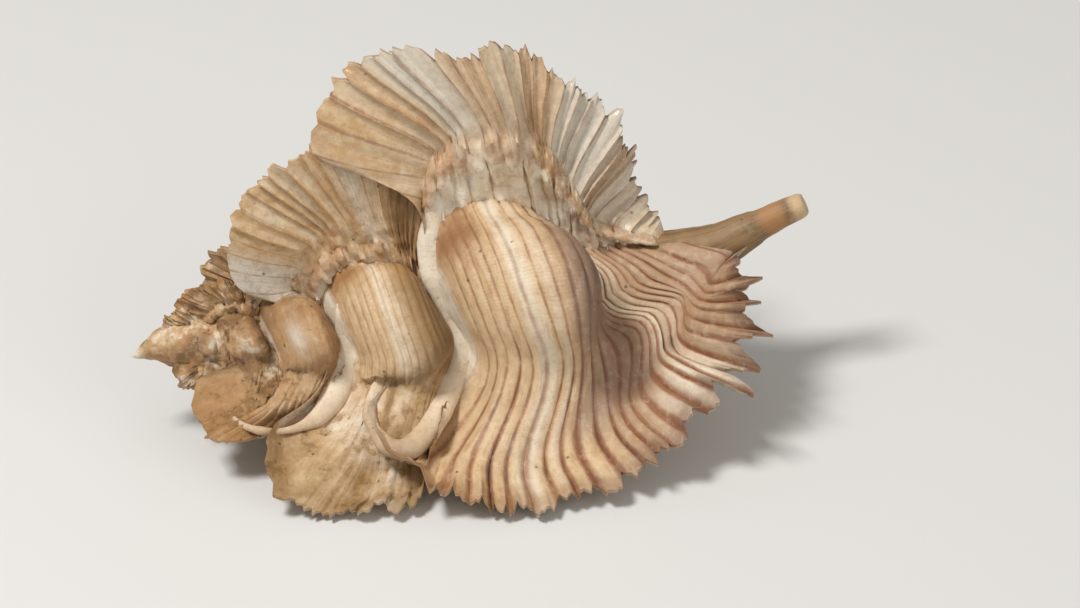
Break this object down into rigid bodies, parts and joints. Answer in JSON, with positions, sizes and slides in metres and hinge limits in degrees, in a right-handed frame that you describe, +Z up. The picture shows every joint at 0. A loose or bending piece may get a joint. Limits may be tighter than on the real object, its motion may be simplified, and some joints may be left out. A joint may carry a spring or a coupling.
{
  "type": "murex shell",
  "caption": "Spiral sea shell with broad fluted wings round each whorl, rounded knobs between them, an oval mouth and a closed curved canal, lying at rest on its wings.",
  "frame": {"origin": "centre of the bounding box's underside, on the surface the shell lies on", "axes": "+Z up, +X along the shell from the tip of the spire to the canal, +Y towards the back wing, away from the side that shows the knobs and the lower wings"},
  "size_m": [0.0856, 0.0532, 0.048],
  "materials": {
    "shell": "ivory and tan shell, satin on the wings and rough on the spire"
  },
  "bodies": {
    "root": {"shell": "shell"}
  },
  "joints": []
}
